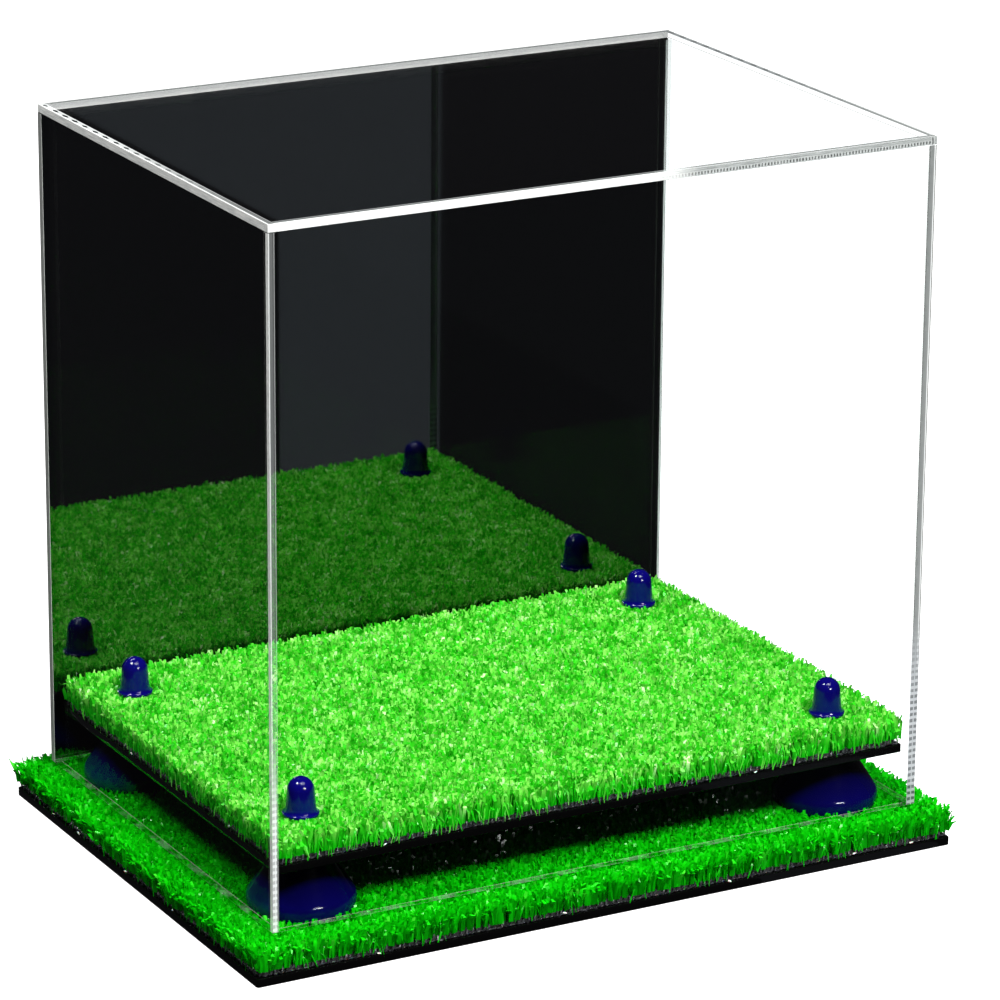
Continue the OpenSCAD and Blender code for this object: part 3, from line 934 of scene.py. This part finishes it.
zinc_material = material_of("bright zinc plate", zinc_plate)
threads = thread_tree()
core_r, shank_l = screw_r - thread_depth, screw_l - head_h
for corner in corner_names:
    foot = riser_axis(corner) + Vector((0, 0, screw_low[2]))
    core = turned("shank", [(0, -shank_sink), (core_r, -shank_sink), (core_r, shank_l - tip_bevel),
                            (core_r - tip_bevel, shank_l), (0, shank_l)], Vector((0, 0, 0)), shank_steps)
    shank = grown(bpy.data.objects.new("shank_" + corner, core), threads, pitch=thread_pitch, crest=screw_r,
                  depth=thread_depth, length=shank_l - tip_bevel - shank_sink, material=zinc_material)
    shank.transform(Matrix.Translation(foot + Vector((0, 0, head_h))))
    shape = bmesh.new()
    shape.from_mesh(screw_head("head_" + corner, foot))
    shape.from_mesh(shank)
    mesh = mesh_from("screw_" + corner, shape)
    mesh.set_sharp_from_angle(angle=math.radians(turned_crease))
    for face in mesh.polygons:
        face.material_index = 0
    settle(link("machine_screw_" + corner, mesh, zinc_material), "platform", "zinc_steel",
           "riser_screw_" + corner)

# ---------------------------------------------------------------- Cap nuts
# Domed navy cap nuts with a flared lip, moulded in the same ABS as the feet. Each turns down on its
# screw and presses into the platform turf.

cap_h = cap_high[2] - cap_low[2]
cap_dome_r, cap_body_r, cap_lip_round = 4.9 * MM, 5.4 * MM, 0.4 * MM
cap_lip_h, cap_flare_h = 1.0 * MM, 3.8 * MM
cap_bore_r, cap_bore_h = 2.05 * MM, 10.2 * MM
dome_at = cap_h - cap_dome_r
cap_profile = (
    arc((cap_radius - cap_lip_round, cap_lip_round), (cap_lip_round,) * 2, -90, 0, 5)
    + arc((cap_radius, cap_flare_h), (cap_radius - cap_body_r, cap_flare_h - cap_lip_h), 270, 180, 12)
    + arc((0, dome_at), (cap_dome_r,) * 2, 0, 90, 16)
    + [(0, cap_bore_h), (cap_bore_r, cap_bore_h), (cap_bore_r, 0)])
for corner in corner_names:
    node = "riser_cap_" + corner
    mesh = turned(node, cap_profile, riser_axis(corner) + Vector((0, 0, cap_low[2])))
    settle(link("cap_nut_" + corner, mesh, navy_material), "cap_" + corner, "navy_plastic", node)

# ---------------------------------------------------------------- Clear panels
# Front, left, right and top: cast acrylic sheet, sawn to size, with its edges scraped smooth.
# The panels are joined with solvent cement, which leaves a frosty line broken by small gaps.

edge_ease, cement_gap = 0.15 * MM, 0.03 * MM
seam_width, upright_seam = 2.6 * MM, 3.6 * MM
upright_pitch, top_pitch, saw_pitch = 2.4 * MM, 8.8 * MM, 1.3 * MM
facing_square, facing_partly = 0.99, 0.15
# From the first x to the second, the front edge's frost and the joints turn to painted grey: painted shade.
painted_grey_from, painted_grey_to = 16 * MM, 34 * MM
sheet_front, sheet_rear = cover_low[1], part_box("cover_front_panel")[1][1]
wall_top, lid_top = cover_low[2], cover_high[2]
mirror_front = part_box("cover_back_mirror")[0][1]
CLEAR, SAWN, BOND, RIM, SEAM, SILVER = range(6)


def acrylic_face(add):
    """The polished face of cast acrylic: clear and neutral, and a mirror only at a flat angle."""
    place = add("TexCoord").outputs["Object"]
    facing = add("LayerWeight", {"Blend": 0.5}).outputs["Facing"]
    rim = add("Math POWER", (facing, 5.0))
    share = add("Math MULTIPLY_ADD", (rim, 0.25, 0.004))
    haze = add("TexNoise", (place, 0.025 / MM, 3.0))
    rough = add("MapRange", (haze, 0, 1, 0.0, 0.06))
    shine = add("BsdfAnisotropic", {"Color": "#ffffff", "Roughness": rough})
    through = add("BsdfTransparent", {"Color": "#fdfefe"})
    return add("MixShader", (share, through, shine))


def acrylic_edge(add):
    """A sawn and scraped acrylic edge: frosty, with fine streaks along the cut and a row of saw marks.
    It shows from outside. From inside the sheet light slips past it, so it is clear or nearly so, and its
    tone there is darker: painted shade. Towards the right end of the front edge the frost is painted grey,
    also painted shade."""
    place = add("TexCoord").outputs["Object"]
    spot = add("SeparateXYZ", (place,))
    chart = add("SeparateXYZ", (add("UVMap", uv_map="Edge"),))
    level = add("Attribute", attribute_name="Frost").outputs["Fac"]

    # Streaks run along the edge, and grit roughens it.
    across = add("Math MULTIPLY", (chart.outputs["Y"], 9.0))
    streaks = add("TexNoise", (add("CombineXYZ", {"X": chart.outputs["X"], "Y": across}), 1.0, 4.0, 0.7))
    streaks = add("MapRange", (streaks, 0.35, 0.6))
    grit = add("TexNoise", (place, 1.6 / MM, 2.0))
    bump = add("Bump", {"Height": grit, "Strength": 0.3, "Distance": 0.1 * MM})

    # Towards the right end of the front edge the blade left two rows of marks, and the frost there is painted
    # grey: painted shade.
    wander = add("TexNoise", (place, 0.5 / MM, 1.0))
    teeth = add("Math MULTIPLY", (spot.outputs["X"], 1.0 / saw_pitch))
    teeth = add("Math MULTIPLY_ADD", (wander, 0.5, teeth))
    teeth = add("Math PINGPONG", (teeth, 0.5))
    rows = add("Math PINGPONG", (chart.outputs["Y"], 0.3))
    marks = add("Math MULTIPLY", (add("MapRange", (teeth, 0.2, 0.3)), add("MapRange", (rows, 0.06, 0.14))))
    lower = add("MapRange", (chart.outputs["Y"], 0.62, 0.55))
    marks = add("Math MULTIPLY", (marks, lower))
    # Painted shade: this share turns the front edge's frost to painted grey towards its right end.
    dull = add("MapRange", (spot.outputs["X"], painted_grey_from, painted_grey_to))
    for name, none, full in (("Y", sheet_front + 0.75 * MM, sheet_front + 0.25 * MM),
                             ("Z", wall_top - 0.4 * MM, wall_top - 0.1 * MM)):
        reach = add("MapRange", (spot.outputs[name], none, full))
        dull = add("Math MULTIPLY", (dull, reach))
    pale = add("Mix RGBA", (streaks, "#d2d6d4", "#fafaf6"))
    grey = add("Mix RGBA", (streaks, "#3c403e", "#9a9e9c"))
    bright = add("Mix RGBA", (lower, grey, "#9a9e9c"))
    pitted = add("Mix RGBA", (marks, bright, "#262827"))
    tone = add("Mix RGBA", (dull, pale, pitted))
    tone = add("Mix RGBA", (level, "#4f534f", tone))
    # Seen from inside, the edge takes a darker tone: painted shade.
    inside = add("NewGeometry").outputs["Backfacing"]
    painted_shade_inside = add("Mix RGBA", (streaks, "#1f1d1b", "#a8a49f"))
    tone = add("Mix RGBA", (inside, tone, painted_shade_inside))
    frost = add("BsdfPrincipled", {"Base Color": tone, "Roughness": 0.3, "Normal": bump, "IOR": 1.49})
    through = add("BsdfTransparent", {"Color": "#f0f2f2"})
    cover = add("MapRange", (streaks, 0, 1, 0.75, 0.95))
    hint = add("MapRange", (level, 0.9, 0.7, 0, 0.6))
    cover = add("Mix", (inside, cover, hint))

    # The ends of the front sheet are scraped clear again along the half next to the side walls.
    scraped = add("MapRange", (chart.outputs["Y"], 0.52, 0.62))
    for name, none, full in (("Y", sheet_rear + 0.25 * MM, sheet_rear - 0.05 * MM),
                             ("Z", wall_top - 0.2 * MM, wall_top - 0.4 * MM)):
        reach = add("MapRange", (spot.outputs[name], none, full))
        scraped = add("Math MULTIPLY", (scraped, reach))
    cover = add("Math MULTIPLY", (cover, add("Math SUBTRACT", (1.0, scraped))))
    return add("MixShader", (cover, through, frost))


def wall_rim(add):
    """The lower rim of a wall, sawn and flame polished: clear, with a trace of frost."""
    place = add("TexCoord").outputs["Object"]
    frosting = add("TexNoise", (place, 0.12 / MM, 3.0))
    share = add("MapRange", (frosting, 0.45, 0.7, 0.0, 0.1))
    frost = add("BsdfPrincipled", {"Base Color": "#e8ecea", "Roughness": 0.3})
    through = add("BsdfTransparent", {"Color": "#f0f6f0"})
    return add("MixShader", (share, through, frost))


def bonded_face(add):
    """The face of a sheet against the cement, which fills it: nothing of it shows."""
    return add("BsdfTransparent", {"Color": "#fcfdfd"})


def cement_seam(add):
    """The cement of a joint, seen through the face of the sheet that covers it. Bands of frost and dark
    run along it. Where the cement ran thin, bubbles make a lace of short dark dashes."""
    place = add("TexCoord").outputs["Object"]
    spot = add("SeparateXYZ", (place,))
    chart = add("SeparateXYZ", (add("UVMap", uv_map="Edge"),))

    # Where a joint is: on the lid or a wall, at the front or back, on the left or right.
    lid = add("MapRange", (spot.outputs["Z"], lid_top - 0.3 * MM, lid_top - 0.1 * MM))
    right = add("MapRange", (spot.outputs["X"], painted_grey_from, painted_grey_to))
    back = add("Math GREATER_THAN", (spot.outputs["Y"], mirror_front - 0.75 * MM))
    wall = add("Math SUBTRACT", (1.0, lid))
    front = add("Math SUBTRACT", (wall, back), use_clamp=True)
    wide = add("Math MULTIPLY", (front, right))
    share = add("MapRange", (wide, 0, 1, 1.0, seam_width / upright_seam))
    share = add("Math MULTIPLY", (share, chart.outputs["Y"]))

    # Bands across the joint, from the outer edge inwards: tone in colour, and cover in alpha. They are pale
    # on the left, painted greyer (painted shade) on the right and along the rear of the top, and thin at the
    # rear uprights.
    pale, grey, thin = (add("ValToRGB", (share,)) for _ in range(3))
    for ramp, bands in ((pale, ((0.0, "#4c504e", 0.8), (0.1, "#e8ebea", 0.85), (0.26, "#b8bcbb", 0.2),
                                (0.7, "#b0b4b3", 0.2), (0.76, "#b0b4b3", 0.0), (0.88, "#d0d3d2", 0.4),
                                (1.0, "#d0d3d2", 0.0))),
                        (grey, ((0.0, "#4e524f", 0.9), (0.14, "#5a5e5c", 0.9), (0.2, "#e6e8e7", 0.9),
                                (0.3, "#5a5d5c", 0.85), (0.74, "#484c4a", 0.85), (0.84, "#121413", 0.95),
                                (0.92, "#6a6e6c", 0.5), (1.0, "#8a8e8c", 0.0))),
                        (thin, ((0.0, "#5c605e", 0.8), (0.06, "#5c605e", 0.0), (0.7, "#5c605e", 0.0),
                                (0.76, "#e6e8e7", 0.9), (0.84, "#e6e8e7", 0.9), (0.88, "#3c403e", 0.9),
                                (0.94, "#c0c4c2", 0.5)))):
        bar = ramp.color_ramp
        for _ in bands[2:]:
            bar.elements.new(1.0)
        for element, (reach, tone, cover) in zip(bar.elements, bands):
            element.position = reach
            element.color = (*colour(tone)[:3], cover)
    # Painted shade: the greyer bands are used on the right and along the rear of the top.
    painted_grey_side = add("Math MAXIMUM", (right, back))
    slight = add("Math MULTIPLY", (wall, back))
    tone = add("Mix RGBA", (painted_grey_side, pale, grey))
    cover = add("Mix", (painted_grey_side, pale.outputs["Alpha"], grey.outputs["Alpha"]))
    tone = add("Mix RGBA", (slight, tone, thin))
    line = add("Math MULTIPLY", (thin.outputs["Alpha"], right))
    cover = add("Mix", (slight, cover, line))

    # The lace: at the feet of the uprights, and along the sides of the top away from the front.
    wander = add("TexNoise", (place, 0.26 / MM, 2.0))
    run = add("Math MULTIPLY_ADD", (wander, 0.35, chart.outputs["X"]))
    cell = add("Math PINGPONG", (run, 0.5))
    dash = add("MapRange", (cell, 0.2, 0.27))
    column = add("Math PINGPONG", (share, 0.25))
    column = add("MapRange", (column, 0.03, 0.09))
    ladder = add("Math MULTIPLY", (dash, column))
    middle = add("Math PINGPONG", (share, 0.5))
    lens = add("Math ADD", (cell, middle))
    slot = add("MapRange", (lens, 0.64, 0.74))
    faint = add("MapRange", (right, 0, 1, 0.4, 1.0))
    ladder = add("Math MULTIPLY", (ladder, faint))
    gaps = add("Mix", (lid, ladder, slot))
    foot = add("MapRange", (spot.outputs["Z"], 90 * MM, 60 * MM))
    foot = add("Math SUBTRACT", (foot, slight), use_clamp=True)
    rear = add("MapRange", (spot.outputs["Y"], -70 * MM, 30 * MM))
    flank = add("Math GREATER_THAN", (add("Math ABSOLUTE", (spot.outputs["X"],)), cover_high[0] - 4 * MM))
    rear = add("Math MULTIPLY", (rear, flank))
    inner = add("MapRange", (chart.outputs["Y"], 0.78, 0.72))
    inner = add("Math MAXIMUM", (inner, right))
    foot = add("Math MULTIPLY", (foot, inner))
    lacy = add("Mix", (lid, foot, rear))
    # The lace is painted darker on the right: painted shade.
    lace = add("Mix RGBA", (right, "#dcdfde", "#4c5054"))
    lace = add("Mix RGBA", (wide, lace, "#a2a6aa"))
    hole = add("Mix RGBA", (wide, "#171a1c", "#4a4e52"))
    soft = add("MapRange", (lid, 0, 1, 1.0, 0.55))
    soft = add("Math MULTIPLY", (soft, lacy))
    tone = add("Mix RGBA", (soft, tone, lace))
    tone = add("Mix RGBA", (add("Math MULTIPLY", (gaps, lacy)), tone, hole))
    cover = add("Mix", (soft, cover, 0.9))
    frost = add("BsdfPrincipled", {"Base Color": tone, "Roughness": 0.4, "IOR": 1.49})
    clear = add("BsdfTransparent", {"Color": "#f0f2f1"})
    return add("MixShader", (cover, clear, frost))


def acrylic_sheet(name, node, faces, materials, seams=()):
    """A sheet in the place of a node. faces gives the finish and the frost of its faces by their
    direction. A seam gives a direction whose face shows cemented joints, their width, and the axes that
    they border."""
    low, high = (Vector(corner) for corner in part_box(node))
    for (axis, sign), (finish, _) in faces.items():
        if finish == BOND:
            corner = high if sign > 0 else low
            corner[axis] -= sign * cement_gap
    shape = bmesh.new()
    shape.from_mesh(box_mesh(name, low, high))
    bmesh.ops.bevel(shape, geom=shape.edges[:], offset=edge_ease, offset_type="OFFSET", segments=2,
                    profile=0.5, affect="EDGES", clamp_overlap=True)
    edge_map = shape.loops.layers.uv.new("Edge")
    frost = shape.loops.layers.float.new("Frost")
    for _, _, width, borders in seams:
        for i, at in ((i, at) for i in borders for at in (low[i] + width, high[i] - width)):
            across = Vector([float(k == i) for k in range(3)])
            bmesh.ops.bisect_plane(shape, geom=shape.verts[:] + shape.edges[:] + shape.faces[:],
                                   plane_co=across * at, plane_no=across)
    for face in shape.faces:
        axis = max(range(3), key=lambda i: abs(face.normal[i]))
        sign = 1 if face.normal[axis] > 0 else -1
        finish, level = faces.get((axis, sign), (CLEAR, 1.0))
        if abs(face.normal[axis]) < facing_square:
            sides = [faces.get((i, 1 if face.normal[i] > 0 else -1), (CLEAR, 1.0))[0]
                     for i in range(3) if abs(face.normal[i]) > facing_partly]
            finish, level = (BOND if BOND in sides else SAWN), 0.6
        middle, inward = face.calc_center_median(), None
        for seam_axis, seam_sign, width, borders in seams:
            if face.normal[seam_axis] * seam_sign > facing_square:
                nearest = min((min(middle[i] - low[i], high[i] - middle[i]), i) for i in borders)
                if nearest[0] < width:
                    finish, inward = SEAM, nearest[1]
        face.material_index = finish
        face.smooth = False
        spans = [max(v.co[i] for v in face.verts) - min(v.co[i] for v in face.verts) for i in range(3)]
        across, along = sorted((i for i in range(3) if i != axis), key=lambda i: spans[i])
        if inward is not None:
            across, along = inward, 3 - axis - inward
        start, width = min(v.co[across] for v in face.verts), max(spans[across], tiny)
        pitch = upright_pitch if along == Z else top_pitch
        for loop in face.loops:
            spot = loop.vert.co
            share = (spot[across] - start) / width
            if inward is not None:
                share = min(spot[across] - low[across], high[across] - spot[across]) / seam_width
            loop[edge_map].uv = (spot[along] / pitch, share)
            loop[frost] = level
    return link(name, mesh_from(name, shape), *materials)


clear_materials = [material_of("clear cast acrylic", acrylic_face),
                   material_of("scraped acrylic edge", acrylic_edge),
                   material_of("solvent-bonded face", bonded_face),
                   material_of("polished acrylic rim", wall_rim),
                   material_of("solvent-cemented joint", cement_seam)]
wall_faces = {(Y, -1): (BOND, 1.0), (Y, 1): (BOND, 1.0), (Z, -1): (RIM, 1.0), (Z, 1): (BOND, 1.0)}
for name, node, faces, seams in (
        ("front_sheet", "cover_front_panel",
         {(X, -1): (SAWN, 1.0), (X, 1): (SAWN, 1.0), (Z, -1): (RIM, 1.0), (Z, 1): (BOND, 1.0)},
         [(Y, -1, upright_seam, (X,))]),
        ("left_sheet", "cover_left_panel", wall_faces, []),
        ("right_sheet", "cover_right_panel", wall_faces, []),
        ("top_sheet", "cover_top_panel",
         {(X, -1): (SAWN, 0.92), (X, 1): (SAWN, 0.92), (Y, -1): (SAWN, 1.0), (Y, 1): (SAWN, 0.7)},
         [(Z, 1, seam_width, (X, Y))])):
    settle(acrylic_sheet(name, node, faces, clear_materials, seams), "cover", "clear_acrylic", node)

# ---------------------------------------------------------------- Mirror back
# The rear wall is a mirror sheet: clear acrylic, silvered on its rear face, with a thin coat of
# dark paint that keeps the silver from being scratched.

coat_gap, coat_corner, coat_ease = 0.02 * MM, 0.6 * MM, 0.04 * MM


def silvering(add):
    """Vacuum-coated aluminium behind the acrylic: a clean mirror, a little darker than daylight."""
    place = add("TexCoord").outputs["Object"]
    ripple = add("TexNoise", (place, 0.014 / MM, 1.0))
    bump = add("Bump", {"Height": ripple, "Strength": 0.02, "Distance": 0.2 * MM})
    return add("BsdfPrincipled", {"Base Color": "#7c7f7d", "Metallic": 1.0, "Roughness": 0.02,
                                  "Normal": bump})


def backing_paint(add):
    """Roller-coated mirror paint: black-grey, dull and finely pitted."""
    place = add("TexCoord").outputs["Object"]
    stipple = add("TexNoise", (place, 1.1 / MM, 3.0))
    blotch = add("TexNoise", (place, 0.03 / MM, 3.0))
    tint = add("Mix RGBA", (blotch, "#1b1c1e", "#26282a"))
    rough = add("MapRange", (blotch, 0, 1, 0.42, 0.6))
    bump = add("Bump", {"Height": stipple, "Strength": 0.25, "Distance": 0.08 * MM})
    return add("BsdfPrincipled", {"Base Color": tint, "Roughness": rough, "Normal": bump})


mirror_sheet = acrylic_sheet("mirror_sheet", "cover_back_mirror", {
    (X, -1): (SAWN, 0.25), (X, 1): (SAWN, 0.95), (Z, -1): (RIM, 1.0), (Z, 1): (BOND, 1.0),
    (Y, 1): (SILVER, 1.0)},
    clear_materials + [material_of("silvered acrylic", silvering)], [(Y, -1, seam_width, (X,))])
settle(mirror_sheet, "cover", "mirror_acrylic", "cover_back_mirror")
coat_low, coat_high = (Vector(corner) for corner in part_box("mirror_back_coat"))
coat_low[1] += coat_gap
coat_high[2] -= cement_gap
mesh = slab("coat", (coat_low[0], coat_low[2], 0), (coat_high[0], coat_high[2], coat_high[1] - coat_low[1]),
            coat_corner, coat_ease)
mesh.transform(Matrix(((1, 0, 0, 0), (0, 0, -1, coat_high[1]), (0, 1, 0, 0), (0, 0, 0, 1))))
settle(link("mirror_back_paint", mesh, material_of("mirror backing paint", backing_paint)),
       "cover", "back_coat", "mirror_back_coat")
